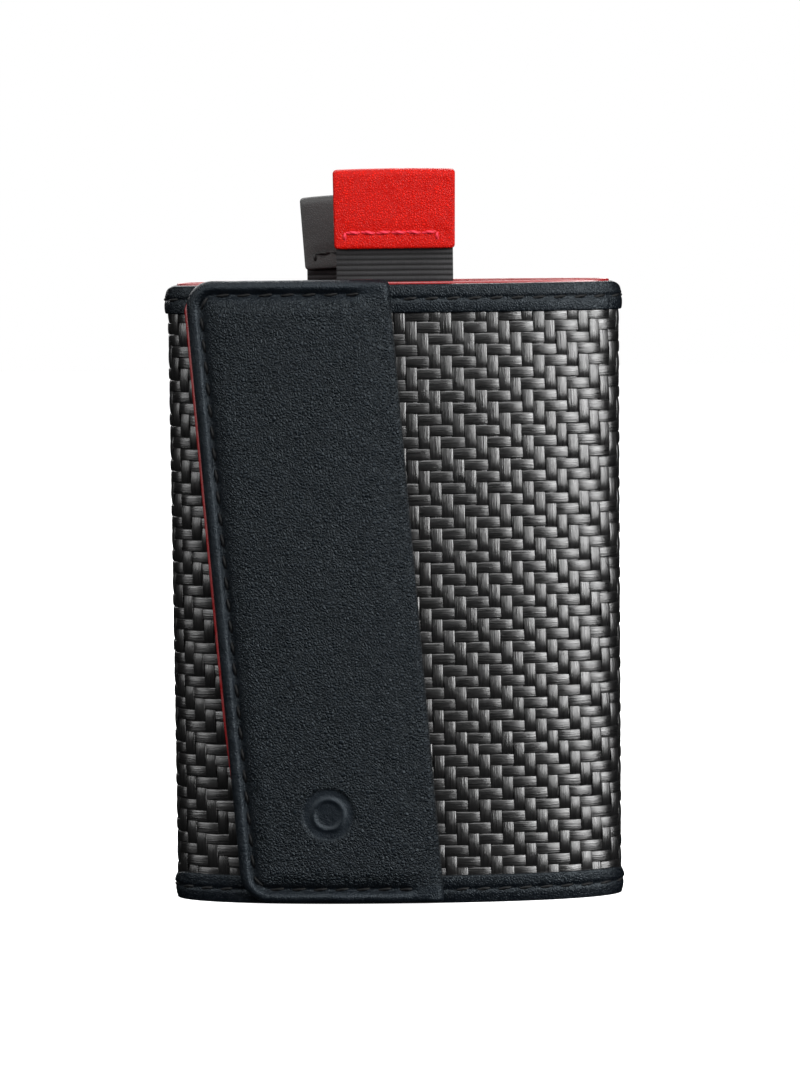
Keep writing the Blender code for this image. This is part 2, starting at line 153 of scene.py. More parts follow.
def strip_faces(rows, columns, first, ring):
    """Quads of a grid of points, as point numbers, closed across and, in a ring, along as well."""
    r, c = np.meshgrid(np.arange(rows if ring else rows - 1), np.arange(columns), indexing="ij")
    r2 = (r + 1) % rows
    c2 = (c + 1) % columns
    quads = np.stack([r * columns + c, r * columns + c2, r2 * columns + c2, r2 * columns + c], -1)
    return (quads.reshape(-1, 4) + first).tolist()


def grids_mesh(grids, ring=False, merge=False):
    """One mesh from grids of points. Each grid is (points, uv), shaped rows x columns x 3 and x 2.

    A grid is closed across. A ring is closed along as well, and the others are capped at their ends.
    """
    points = []
    places = []
    faces = []
    first = 0
    for grid, uv in grids:
        rows, columns = grid.shape[:2]
        faces += strip_faces(rows, columns, first, ring)
        if not ring:
            faces.append([first + c for c in range(columns)])
            faces.append([first + rows * columns - 1 - c for c in range(columns)])
        points.append(grid.reshape(-1, 3))
        places.append(uv.reshape(-1, 2))
        first += rows * columns
    mesh = bpy.data.meshes.new("grids")
    mesh.from_pydata(np.concatenate(points).tolist(), [], faces)
    spots = np.empty(len(mesh.loops), dtype=np.int32)
    mesh.loops.foreach_get("vertex_index", spots)
    layer = mesh.uv_layers.new(name="along")
    layer.uv.foreach_set("vector", np.concatenate(places)[spots].astype(np.float32).ravel())
    tidy_mesh(mesh, merge)
    return mesh


def tidy_mesh(mesh, merge):
    """Welds points that coincide, where asked, and turns every face outwards."""
    shape = bmesh.new()
    shape.from_mesh(mesh)
    if merge:
        bmesh.ops.remove_doubles(shape, verts=shape.verts, dist=WELD)
        bmesh.ops.dissolve_degenerate(shape, edges=shape.edges, dist=WELD / 4)
    bmesh.ops.recalc_face_normals(shape, faces=shape.faces)
    shape.to_mesh(mesh)
    shape.free()


def smoothstep(low, high, value):
    """A soft step from 0 at low to 1 at high."""
    t = np.clip((value - low) / (high - low), 0.0, 1.0)
    return t * t * (3 - 2 * t)


def wavy(a, b, scale, seed):
    """A smooth, repeatable unevenness between about -1 and 1 over two coordinates."""
    total = np.zeros(np.broadcast(a, b).shape)
    for k in range(5):
        turn = seed * 1.7 + k * 2.4
        rate = (1 + 0.55 * k) / scale
        wave = a * rate * math.cos(turn) + b * rate * math.sin(turn) + seed + k * k
        total += np.sin(wave) / (1 + 0.4 * k)
    return total / 2.6


# ---- the sleeve's plan


def plan_xy(turns, inset):
    """Points of the sleeve's plan: turn 0 is the right side and -pi/2 the front."""
    power = 2 / ROUNDNESS
    c, s = np.cos(turns), np.sin(turns)
    x = np.sign(c) * np.abs(c) ** power * (HALF_WIDTH - inset)
    y = np.sign(s) * np.abs(s) ** power * (HALF_DEPTH - inset)
    return x, y


class Wall:
    """The plan at one inset, measured by distance along it: 0 at the front middle, then rightwards."""

    def __init__(self, inset):
        turns = np.linspace(-math.pi / 2, 1.5 * math.pi, 6001)
        self.x, self.y = plan_xy(turns, inset)
        steps = np.hypot(np.diff(self.x), np.diff(self.y))
        self.reach = np.concatenate([[0], np.cumsum(steps)])
        self.length = self.reach[-1]

    def points(self, along):
        """Points on the wall at distances along it."""
        wrapped = np.mod(along, self.length)
        return np.interp(wrapped, self.reach, self.x), np.interp(wrapped, self.reach, self.y)

    def frame(self, along):
        """Points on the wall and their outward normals."""
        step = 0.12 * MM
        x, y = self.points(along)
        x0, y0 = self.points(along - step)
        x1, y1 = self.points(along + step)
        size = np.hypot(x1 - x0, y1 - y0)
        return x, y, (y1 - y0) / size, -(x1 - x0) / size


def corner_dip(x):
    """How far a rim falls away at its rounded ends."""
    past = np.clip(np.abs(x) - (HALF_WIDTH - CORNER_RADIUS), 0, CORNER_RADIUS)
    return CORNER_RADIUS - np.sqrt(CORNER_RADIUS**2 - past**2)


def front_y(x, inset, flatness):
    """How far forward the front wall is at x. Flatness widens the plan it is taken from."""
    share = np.clip(np.abs(x) / (HALF_WIDTH - inset + flatness), 0, 1)
    return -(HALF_DEPTH - inset) * (1 - share**ROUNDNESS) ** (1 / ROUNDNESS)


def ring_mesh(profile, dip_top=None, dip_bottom=None):
    """A closed ring that carries a profile of (inset, height) round the plan, finer at the ends."""
    turns = np.linspace(0, 2 * math.pi, WALL_STEPS, endpoint=False)
    turns = turns - END_CROWDING * np.sin(2 * turns)
    insets = np.array([p[0] for p in profile])
    heights = np.array([p[1] for p in profile])
    x, y = plan_xy(turns[:, None], insets[None, :])
    z = np.broadcast_to(heights[None, :], x.shape).copy()
    if dip_top is not None:
        z -= corner_dip(x) * smoothstep(dip_top[0], dip_top[1], z)
    if dip_bottom is not None:
        z += corner_dip(x) * smoothstep(dip_bottom[1], dip_bottom[0], z)
    around = turns[:, None] / (2 * math.pi) * np.ones_like(z)
    return grids_mesh([(np.stack([x, y, z], -1), np.stack([around, z / MM], -1))], ring=True)


def arc_profile(centre, radius, first, last, steps):
    """Points of an arc between two angles, in degrees."""
    angles = np.radians(np.linspace(first, last, steps + 1))
    return [(centre[0] + radius * math.cos(a), centre[1] + radius * math.sin(a)) for a in angles]


# ---- materials


class Shader:
    """A Principled material and short ways to add nodes to it."""

    def __init__(self, name, colour, roughness, metallic=0.0, specular=0.5):
        self.material = bpy.data.materials.new(name)
        self.material.use_nodes = True
        self.material.diffuse_color = (*colour, 1.0)
        self.tree = self.material.node_tree
        self.surface = self.tree.nodes["Principled BSDF"]
        self.set("Base Color", (*colour, 1.0))
        self.set("Roughness", roughness)
        self.set("Metallic", metallic)
        self.set("Specular IOR Level", specular)

    def set(self, socket, value):
        self.surface.inputs[socket].default_value = value

    def node(self, kind, inputs=None, **settings):
        """A new node, its inputs either linked to an output or set to a value."""
        made = self.tree.nodes.new("ShaderNode" + kind)
        for key, value in settings.items():
            setattr(made, key, value)
        for key, value in (inputs or {}).items():
            if isinstance(value, bpy.types.NodeSocket):
                self.tree.links.new(value, made.inputs[key])
            else:
                made.inputs[key].default_value = value
        return made

    def link(self, output, socket):
        self.tree.links.new(output, self.surface.inputs[socket])

    def place(self, scale=(1, 1, 1), uv=False):
        """Object or UV coordinates, scaled."""
        source = self.node("TexCoord").outputs["UV" if uv else "Object"]
        mapping = self.node("Mapping", {"Vector": source, "Scale": scale})
        return mapping.outputs["Vector"]

    def noise(self, vector, scale, detail=3.0, roughness=0.55):
        made = self.node(
            "TexNoise", {"Vector": vector, "Scale": scale, "Detail": detail, "Roughness": roughness}
        )
        return made.outputs["Fac"]

    def ramp(self, value, low, high, out_low=0.0, out_high=1.0):
        """A value carried softly from one range to another."""
        made = self.node(
            "MapRange",
            {"Value": value, "From Min": low, "From Max": high, "To Min": out_low, "To Max": out_high},
            interpolation_type="SMOOTHSTEP",
        )
        return made.outputs["Result"]

    def math(self, operation, a, b):
        return self.node("Math", {0: a, 1: b}, operation=operation).outputs["Value"]

    def blend(self, factor, dark, light):
        made = self.node("Mix", {"Factor": factor}, data_type="RGBA")
        made.inputs[6].default_value = (*dark, 1.0)
        made.inputs[7].default_value = (*light, 1.0)
        return made.outputs[2]

    def bump(self, height, distance, previous=None):
        inputs = {"Height": height, "Distance": distance, "Strength": 1.0}
        if previous is not None:
            inputs["Normal"] = previous
        return self.node("Bump", inputs).outputs["Normal"]


def flattened(shader, pebbles, x, z, radius):
    """The pebbles, pressed flatter on a disc and towards the flap's free edges."""
    place = shader.place((1.0, 0.0, 1.0))
    reach = shader.node("VectorMath", {0: place, 1: (x, 0.0, z)}, operation="DISTANCE")
    kept = shader.ramp(reach.outputs["Value"], radius - 0.4 * MM, radius + 0.2 * MM, 0.12, 1.0)
    split = shader.node("SeparateXYZ", {"Vector": shader.place(uv=True)})
    aside = shader.math("SUBTRACT", split.outputs["X"], (ROLL_RADIUS - FLAP_WIDTH) / MM)
    above = shader.math("SUBTRACT", FLAP_TOP / MM, split.outputs["Y"])
    below = shader.math("SUBTRACT", split.outputs["Y"], FLAP_BOTTOM / MM)
    inward = shader.math("MINIMUM", aside, shader.math("MINIMUM", above, below))
    kept = shader.math("MULTIPLY", kept, shader.ramp(inward, 1.8, 3.8, 0.3, 1.0))
    creases = shader.math("MULTIPLY", shader.math("SUBTRACT", pebbles, 1.0), kept)
    return shader.math("ADD", creases, 1.0)


def leather(
    name, dark, light, roughness, grain, depth, specular=0.35, sheen=(1, 1, 1), pressed=None, swirl=1.6
):
    """Fine-grained leather: pebbles between creases, pores and a slow change of tone.

    Pressed is a disc (x, z, radius) where the grain is flattened, and so is the flap's rim round it.
    """
    shader = Shader(name, light, roughness, specular=specular)
    shader.set("Specular Tint", (*sheen, 1.0))
    where = shader.place()
    wander = shader.node("TexNoise", {"Vector": where, "Scale": 0.35 / grain, "Detail": 2.0})
    drift = shader.node("VectorMath", {0: wander.outputs["Color"]}, operation="SCALE")
    drift.inputs["Scale"].default_value = grain * swirl
    moved = shader.node("VectorMath", {0: where, 1: drift.outputs["Vector"]}, operation="ADD")
    cells = shader.node(
        "TexVoronoi", {"Vector": moved.outputs["Vector"], "Scale": 1 / grain}, feature="DISTANCE_TO_EDGE"
    )
    pebbles = shader.ramp(cells.outputs["Distance"], 0.0, 0.34)
    fine = shader.noise(where, 3.2 / grain, 2.0)
    if pressed:
        pebbles = flattened(shader, pebbles, *pressed)
    broad = shader.noise(where, 0.16 / grain, 3.0)
    tone = shader.math("MULTIPLY", pebbles, shader.ramp(broad, 0.25, 0.75, 0.55, 1.0))
    shader.link(shader.blend(tone, dark, light), "Base Color")
    shader.link(shader.ramp(broad, 0.2, 0.8, roughness - 0.07, roughness + 0.07), "Roughness")
    relief = shader.bump(broad, depth * 2.2)
    relief = shader.bump(pebbles, depth, relief)
    relief = shader.bump(fine, depth * 0.55, relief)
    shader.link(relief, "Normal")
    return shader.material


def carbon_tow(name):
    """A tow of carbon fibres: streaks along it and a highlight spread across it."""
    shader = Shader(name, (0.01, 0.01, 0.01), 0.33, specular=0.95)
    shader.set("Anisotropic", 0.5)
    tangent = shader.node("Tangent", direction_type="UV_MAP", uv_map="along")
    shader.link(tangent.outputs["Tangent"], "Tangent")
    streaks = shader.noise(shader.place((7.5, 0.3, 1.0), uv=True), 1.0, 3.0, 0.65)
    tows = shader.noise(shader.place((0.9, 0.12, 1.0), uv=True), 1.0, 1.0)
    streaked = shader.ramp(streaks, 0.3, 0.7, 0.55, 1.0)
    tone = shader.math("MULTIPLY", streaked, shader.ramp(tows, 0.2, 0.8, 0.75, 1.0))
    shader.link(shader.blend(tone, (0.0004, 0.0004, 0.0004), (0.005, 0.005, 0.0052)), "Base Color")
    shader.link(shader.ramp(streaks, 0.3, 0.7, 0.38, 0.25), "Roughness")
    shader.link(shader.bump(streaks, 0.07 * MM), "Normal")
    return shader.material


def ribbon_weave(name, colour):
    """Ribbed ribbon: rounded ribs with painted shade darkening the valleys between, crossed by fine warp
    threads.
    """
    shader = Shader(name, colour, 0.62, specular=0.28)
    shader.set("Sheen Weight", 0.2)
    split = shader.node("SeparateXYZ", {"Vector": shader.place(uv=True)})
    turn = shader.math("MULTIPLY", split.outputs["Y"], math.pi * MM / RIB_PITCH)
    crown = shader.math("ABSOLUTE", shader.math("SINE", turn, 0.0), 0.0)
    # painted shade: the colour falls almost to black in the valleys between the ribs, where shade falls
    valley_painted_shade = shader.ramp(crown, 0.3, 0.9, 0.03, 1.0)
    threads = shader.noise(shader.place((4.0, 0.6, 1.0), uv=True), 1.3, 3.0)
    tone = shader.math("MULTIPLY", valley_painted_shade, shader.ramp(threads, 0.3, 0.7, 0.6, 1.0))
    shader.link(shader.blend(tone, tuple(0.08 * c for c in colour), colour), "Base Color")
    shader.link(shader.bump(threads, 0.05 * MM), "Normal")
    return shader.material


def thread(name, dark, light):
    """Twisted waxed thread: strands that run slantwise round it."""
    shader = Shader(name, light, 0.6, specular=0.25)
    where = shader.place(uv=True)
    strands = shader.node(
        "TexWave", {"Vector": where, "Scale": 0.55, "Distortion": 0.4}, bands_direction="DIAGONAL"
    )
    shader.link(shader.blend(strands.outputs["Fac"], dark, light), "Base Color")
    shader.link(shader.bump(strands.outputs["Fac"], 0.04 * MM), "Normal")
    return shader.material


def woven_cloth(name, colour):
    """Plain woven lining cloth."""
    shader = Shader(name, colour, 0.75, specular=0.3)
    where = shader.place()
    yarns = {"Vector": where, "Scale": 1200.0, "Distortion": 0.5}
    over = shader.node("TexWave", yarns, bands_direction="X")
    under = shader.node("TexWave", yarns, bands_direction="Z")
    cross = shader.math("MULTIPLY", over.outputs["Fac"], under.outputs["Fac"])
    shader.link(shader.blend(cross, tuple(0.4 * c for c in colour), colour), "Base Color")
    shader.link(shader.bump(cross, 0.05 * MM), "Normal")
    return shader.material


def brushed_metal(name, colour, roughness):
    """Foil or plating with fine brush marks."""
    shader = Shader(name, colour, roughness, metallic=1.0)
    marks = shader.noise(shader.place((1.0, 1.0, 40.0)), 0.25 / MM, 3.0)
    shader.link(shader.blend(marks, tuple(0.7 * c for c in colour), colour), "Base Color")
    shader.link(shader.ramp(marks, 0.2, 0.8, roughness - 0.08, roughness + 0.1), "Roughness")
    shader.link(shader.bump(marks, 0.01 * MM), "Normal")
    return shader.material


BLUE_BLACK = (0.80, 0.92, 1.0)
BLACK_LEATHER = leather(
    "black_leather", (0.0006, 0.0011, 0.0018), (0.0050, 0.0074, 0.0108), 0.40, grain=0.46 * MM,
    depth=0.13 * MM, specular=0.31, sheen=BLUE_BLACK, pressed=(MARK_X, MARK_Z, MARK_RADIUS),
)
EDGE_LEATHER = leather(
    "black_edge_leather", (0.0012, 0.0019, 0.0030), (0.0042, 0.0060, 0.0090), 0.38, grain=0.40 * MM,
    depth=0.04 * MM, specular=0.24, sheen=BLUE_BLACK,
)
RED_LEATHER = leather(
    "red_leather", (0.34, 0.002, 0.0005), (0.60, 0.0065, 0.0008), 0.42, grain=0.34 * MM,
    depth=0.05 * MM, specular=0.14,
)
RED_LINING = leather(
    "red_lining_leather", (0.20, 0.002, 0.003), (0.30, 0.004, 0.006), 0.32, grain=0.30 * MM,
    depth=0.006 * MM, specular=1.0, swirl=0.4,
)
TAB_LEATHER = leather(
    "black_tab_leather", (0.046, 0.046, 0.046), (0.060, 0.060, 0.060), 0.6, grain=0.34 * MM,
    depth=0.02 * MM,
)
CARBON = carbon_tow("carbon_tow")
BACKING = woven_cloth("black_backing_cloth", (0.008, 0.008, 0.009))
RIBBON = ribbon_weave("ribbed_ribbon", (0.0145, 0.0142, 0.0158))
BLACK_THREAD = thread("black_thread", (0.0006, 0.0008, 0.0011), (0.0020, 0.0025, 0.0032))
GREY_THREAD = thread("grey_thread", (0.012, 0.012, 0.012), (0.034, 0.034, 0.034))
RED_THREAD = thread("pink_red_thread", (0.40, 0.008, 0.016), (0.80, 0.038, 0.070))
DIVIDER_CLOTH = woven_cloth("divider_cloth", (0.018, 0.018, 0.020))
FOIL = brushed_metal("foil_board", (0.50, 0.50, 0.52), 0.35)
PLATED = brushed_metal("plated_magnet", (0.60, 0.60, 0.62), 0.25)


# ---- the woven sleeve

TOW_CREST = 0.5 * MM
TOW_WANDER = 0.03
WEAVE_UNDER_TRIM = 0.35 * MM
WEAVE_FOOT_SPARE = 0.6 * MM
WARP_U = 200.5
BACKING_MARGIN = 3.0 * MM
TOW_SWING = 0.17 * MM
TOW_SNAP = 0.9
TOW_BULGE = 0.13 * MM
TOW_COVER = 0.965
STEPS_PER_TOW = 5
LENS = np.array([-0.5, -0.494, -0.465, -0.36, 0.0, 0.36, 0.465, 0.494, 0.5])
LENS_HEIGHT = 0.7 * (1 - np.abs(2 * LENS) ** 5) ** 0.5 + 0.3 * (1 - np.abs(2 * LENS) ** 2)


def tow_lift(passed):
    """How high a tow rides, two crossings over and two under, with a quick change between."""
    wave = np.cos(math.pi / 2 * passed)
    return TOW_SWING * np.tanh(TOW_SNAP * wave) / math.tanh(TOW_SNAP)


def weave(side):
    """Warp and weft of a 2/2 twill over the front or the back of the sleeve."""
    wall = Wall(TOW_CREST + TOW_SWING + TOW_BULGE)
    columns = 4 * round(wall.length / PITCH / 4)
    pitch = wall.length / columns
    half = columns // 2
    first_column = -half // 2 if side == "front" else half - half // 2
    top = TOP_TRIM_FOOT[2] + WEAVE_UNDER_TRIM
    rows = math.ceil((top - BOTTOM_TRIM_TOP[2] + WEAVE_FOOT_SPARE) / PITCH)

    def surface(along, height, out):
        """Points at a distance along the wall, a height, and a distance outwards."""
        x, y, nx, ny = wall.frame(along)
        return np.stack([x + nx * out, y + ny * out, height + 0 * x], -1)

    weft = []
    columns_across = np.linspace(first_column, first_column + half, half * STEPS_PER_TOW + 1)
    for row in range(rows):
        t = columns_across[:, None]
        width = TOW_COVER * (1 + TOW_WANDER * math.sin(row * 2.3))
        across = LENS[None, :] * width
        lift = tow_lift(t - (row - 2))
        drift = TOW_WANDER * PITCH * np.sin(t * 0.37 + row * 1.9)
        height = top - (row + 0.5) * PITCH - across * PITCH + drift
        out = lift + TOW_BULGE * LENS_HEIGHT[None, :]
        points = surface(t * pitch + 0 * across, height, out)
        uv = np.stack([row + 0.5 + across + 0 * t, t + 0 * across], -1)
        weft.append((points, uv))
    warp = []
    rows_down = np.linspace(0, rows, rows * STEPS_PER_TOW + 1)
    for column in range(first_column, first_column + half):
        v = rows_down[:, None]
        width = TOW_COVER * (1 + TOW_WANDER * math.sin(column * 1.7))
        across = LENS[None, :] * width
        lift = tow_lift(v - (column + 1))
        drift = TOW_WANDER * np.sin(v * 0.31 + column * 2.7)
        along = (column + 0.5 + across + drift) * pitch
        out = lift + TOW_BULGE * LENS_HEIGHT[None, :]
        points = surface(along, top - v * PITCH + 0 * across, out)
        uv = np.stack([column + WARP_U + across + 0 * v, v + 0 * across], -1)
        warp.append((points, uv))
    for name, tows in (("weft", weft), ("warp", warp)):
        mesh = grids_mesh(tows)
        add_piece(f"{side}_weave_{name}", mesh, CARBON, "sleeve")


def backing(side):
    """The cloth under the tows, which stands for the panel itself."""
    start = math.pi if side == "front" else 0.0
    turns = np.linspace(start, start + math.pi, 121)
    outer, inner = 1.12 * MM, 1.3 * MM
    low, high = BACKING_MARGIN, TRIM_TOP[2] - BACKING_MARGIN
    grid = []
    for inset, z in ((outer, low), (outer, high), (inner, high), (inner, low)):
        x, y = plan_xy(turns, inset)
        grid.append(np.stack([x, y, np.full_like(x, z)], -1))
    points = np.stack(grid, 1)
    uv = points[..., [0, 2]] / MM
    mesh = grids_mesh([(points, uv)])
    add_piece(f"{side}_panel_backing", mesh, BACKING, "sleeve", (f"{side}_panel",))


# ---- trims, lining, base and divider


def trim(name, low, high, turned_end, node, tilt):
    """A leather band: a rounded outer face with a stitched channel, turned in at its free end."""
    upwards = turned_end > low
    edge = 0.28 * MM
    lip = 0.5 * MM
    face_inset = 0.08 * MM
    channel = (low + high) / 2
    heights = np.linspace(low + edge, high - edge, 30)
    swell = 0.10 * MM * (1 - ((heights - channel) / ((high - low) / 2)) ** 4)
    groove = 0.20 * MM * np.exp(-(((heights - channel) / (0.36 * MM)) ** 2))
    lean = 0.10 * MM * np.abs((heights - channel) / (high - low) * 2) ** 3
    lean = lean + tilt * (heights - channel) / (high - low) + abs(tilt) / 2
    face = [(face_inset - s + g + b, z) for s, g, b, z in zip(swell, groove, lean, heights)]
    foot = face[0][0]
    head = face[-1][0]
    rounded_foot = arc_profile((foot + edge, low + edge), edge, 270, 180, 5)[:-1]
    rounded_head = arc_profile((head + edge, high - edge), edge, 180, 90, 5)[1:]
    if upwards:
        inner = [(TURNED_DEPTH - edge, high), (TURNED_DEPTH, high - edge), (TURNED_DEPTH, turned_end)]
        inner += [(lip, turned_end), (lip, low)]
    else:
        inner = [(lip, high), (lip, turned_end), (TURNED_DEPTH, turned_end)]
        inner += [(TURNED_DEPTH, low + edge), (TURNED_DEPTH - edge, low)]
    profile = rounded_foot + face + rounded_head + inner
    if upwards:
        mesh = ring_mesh(profile, dip_top=(channel, high))
    else:
        mesh = ring_mesh(profile, dip_bottom=(low, channel))
    add_piece(name, mesh, EDGE_LEATHER, "sleeve", (node,))


def lining():
    """The red lining all round, with a rounded top edge above the trim."""
    low = LINING_FOOT[2]
    high = LINING_TOP[2] - LINING_DROP
    outer = LINING_INSET
    inner = LINING_INSET + LINING_THICKNESS
    middle = (outer + inner) / 2
    radius = LINING_THICKNESS / 2
    profile = [(outer, low), (outer, (low + high) / 2)]
    profile += arc_profile((middle, high - radius), radius, 180, 0, 8)
    profile += [(inner, (low + high) / 2), (inner, low)]
    mesh = ring_mesh(profile)
    add_piece("lining", mesh, RED_LINING, "sleeve", ("front_lining", "back_lining"))


def base_board():
    """The leather-covered base, with a soft edge."""
    low, high = size_of("base_panel")
    inset = HALF_WIDTH - high[0]
    edge = 0.3 * MM
    far = HALF_DEPTH - 0.02 * MM
    profile = [(far, low[2]), (HALF_DEPTH * 0.6, low[2]), (inset + edge, low[2])]
    profile += arc_profile((inset + edge, low[2] + edge), edge, 270, 180, 4)[1:]
    profile += arc_profile((inset + edge, high[2] - edge), edge, 180, 90, 4)
    profile += [(HALF_DEPTH * 0.6, high[2]), (far, high[2])]
    add_piece("base_board", ring_mesh(profile), EDGE_LEATHER, "sleeve", ("base_panel",))


def divider():
    """The cloth-covered divider, with rounded shoulders and a folded top edge."""
    low, high = size_of("pocket_divider")
    half = high[0]
    thickness = high[1]
    radius = 3.0 * MM
    edge = thickness
    shoulder = high[2] - radius
    bend = np.sin(np.linspace(0, math.pi / 2, 12)[1:])
    heights = np.concatenate([np.linspace(low[2], shoulder, 30), shoulder + radius * bend])
    rise = np.clip(heights - shoulder, 0, radius)
    reach = half - (radius - np.sqrt(radius**2 - rise**2))
    rim = np.sqrt(np.clip(1 - (1 - np.clip((high[2] - heights) / edge, 0, 1)) ** 2, 0, 1))
    corners = [(-1, 0), (-0.985, -0.8), (-0.9, -1), (0.9, -1), (0.985, -0.8)]
    corners = np.array(corners + [(-a, -b) for a, b in corners])
    x = reach[:, None] * corners[None, :, 0]
    y = thickness * rim[:, None] * corners[None, :, 1]
    z = heights[:, None] + 0 * x
    points = np.stack([x, y, z], -1)
    mesh = grids_mesh([(points, points[..., [0, 2]] / MM)], merge=True)
    add_piece("divider", mesh, DIVIDER_CLOTH, "sleeve", ("pocket_divider",))


# ---- stitches


def stitch_grid(ground, out, sunk=0.16 * MM, proud=0.1 * MM, radius=THREAD_RADIUS):
    """One stitch: a short thread along the ground, rising from one hole and diving into the next."""
    along = np.linspace(0, 1, len(ground))
    turns = np.linspace(0, 2 * math.pi, THREAD_SIDES, endpoint=False)
    lift = -sunk + (sunk + proud) * np.sin(np.pi * along) ** 0.6
    line = ground + out * lift[:, None]
    forward = np.gradient(line, axis=0)
    forward /= np.linalg.norm(forward, axis=1, keepdims=True)
    side = np.cross(forward, out)
    side /= np.linalg.norm(side, axis=1, keepdims=True)
    up = np.cross(side, forward)
    thick = radius * (0.72 + 0.28 * np.sin(np.pi * along))
    ring = np.cos(turns)[None, :, None] * side[:, None, :]
    ring = ring + np.sin(turns)[None, :, None] * up[:, None, :]
    points = line[:, None, :] + ring * thick[:, None, None]
    length = np.linalg.norm(ground[-1] - ground[0]) / MM
    uv = np.stack(np.broadcast_arrays(turns[None, :] / math.pi, along[:, None] * length), -1)
    return points, uv


def stitch_row(line, normals, pitch=STITCH_PITCH, filled=0.56, slant=0.14, proud=0.1 * MM):
    """Stitches along a line of points with outward normals. The line is resampled at the pitch."""
    steps = np.linalg.norm(np.diff(line, axis=0), axis=1)
    reach = np.concatenate([[0], np.cumsum(steps)])
    count = max(1, round(reach[-1] / pitch))
    every = reach[-1] / count

    def at(distance, values):
        """Values of the line at distances along it."""
        return np.stack([np.interp(distance, reach, values[:, k]) for k in range(3)], -1)

    stitches = []
    for i in range(count):
        begin = (i + (1 - filled) / 2) * every
        finish = (i + (1 + filled) / 2) * every
        where = np.linspace(begin, finish, STITCH_STEPS)
        ground, out = at(where, line), at(where, normals)
        out /= np.linalg.norm(out, axis=1, keepdims=True)
        aside = np.cross(out, ground[-1] - ground[0]) * slant / 2
        ground += aside * np.linspace(-1, 1, STITCH_STEPS)[:, None]
        stitches.append(stitch_grid(ground, out, proud=proud))
    return stitches


def stitches_piece(name, stitches, material, body, replaced=()):
    """All the stitches of a seam as one piece."""
    mesh = grids_mesh(stitches)
    add_piece(name, mesh, material, body, replaced)


def trim_stitches(name, height, node, tilt):
    """Stitches round a trim, apart from where the flap lies over it."""
    wall = Wall(0.13 * MM + abs(tilt) / 2)
    hinge = hinge_x(height)
    begin = hinge + 2.2 * ROLL_RADIUS
    finish = hinge + ROLL_RADIUS - FLAP_WIDTH - 0.8 * MM
    quarter = len(wall.x) // 4
    stop = wall.length - abs(np.interp(abs(finish), wall.x[:quarter], wall.reach[:quarter]))
    along = np.linspace(begin, stop, 900)
    x, y, nx, ny = wall.frame(along)
    flat = np.zeros_like(x)
    line = np.stack([x, y, flat + height], -1)
    stitches = stitch_row(line, np.stack([nx, ny, flat], -1), proud=0.02 * MM)
    stitches_piece(name, stitches, BLACK_THREAD, "sleeve", (node,))


# ---- the flap

FLAP_LINING_LOW = 0.3 * MM
FLAP_LINING_HIGH = 0.75 * MM
FLAP_UNDERSIDE = 0.82 * MM
RIM_HEIGHT = 1.7 * MM
PUFF_HEIGHT = 2.55 * MM
EDGE_ROUNDING = 0.85 * MM
SEAM_STOP = 3.0 * MM
GROOVE_DEPTH = 0.75 * MM
BEAD_HEIGHT = 0.22 * MM
BEAD_INSET = 1.1 * MM
MARK_DEPTH = 0.42 * MM
MARK_RING = 0.30 * MM


def hinge_x(height):
    """Where the slanted hinge line is at a height."""
    return HINGE_BASE[0] + HINGE_AXIS[0] / HINGE_AXIS[2] * height


def flap_point(across, height, standoff):
    """A point of the flap: distance from the hinge line, height, and distance off the sleeve."""
    x = hinge_x(height) + across
    y = front_y(x, -standoff, FLAP_FLATNESS)
    return np.stack(np.broadcast_arrays(x, y, height), -1)


def flap_edge_distance(across, height):
    """How far in from the flap's free edges a point is. The hinge edge doesn't count."""
    p = across - (ROLL_RADIUS - FLAP_WIDTH)
    q = np.minimum(FLAP_TOP - height, height - FLAP_BOTTOM)
    corner = FLAP_CORNER - np.hypot(FLAP_CORNER - p, FLAP_CORNER - q)
    return np.where((p < FLAP_CORNER) & (q < FLAP_CORNER), corner, np.minimum(p, q))


def flap_left(height):
    """Where the free edge is, with its rounded corners."""
    q = np.minimum(FLAP_TOP - height, height - FLAP_BOTTOM)
    rise = np.clip(FLAP_CORNER - q, 0, FLAP_CORNER)
    return ROLL_RADIUS - FLAP_WIDTH + FLAP_CORNER - np.sqrt(FLAP_CORNER**2 - rise**2)


def seam_line():
    """Points along the seam: from the top right, round the free edge, to the bottom right."""
    top = FLAP_TOP - SEAM_INSET
    low = FLAP_BOTTOM + SEAM_INSET
    left = ROLL_RADIUS - FLAP_WIDTH + SEAM_INSET
    radius = FLAP_CORNER - SEAM_INSET + 0.6 * MM
    right = -SEAM_STOP
    turn = np.radians(np.linspace(90, 180, 12))
    upper = [(left + radius + radius * math.cos(a), top - radius + radius * math.sin(a)) for a in turn]
    lower = [(a, low + top - b) for a, b in reversed(upper)]
    route = np.array([(right, top), *upper, *lower, (right, low)])
    steps = np.linalg.norm(np.diff(route, axis=0), axis=1)
    reach = np.concatenate([[0], np.cumsum(steps)])
    along = np.linspace(0, reach[-1], 1200)
    return np.interp(along, reach, route[:, 0]), np.interp(along, reach, route[:, 1])


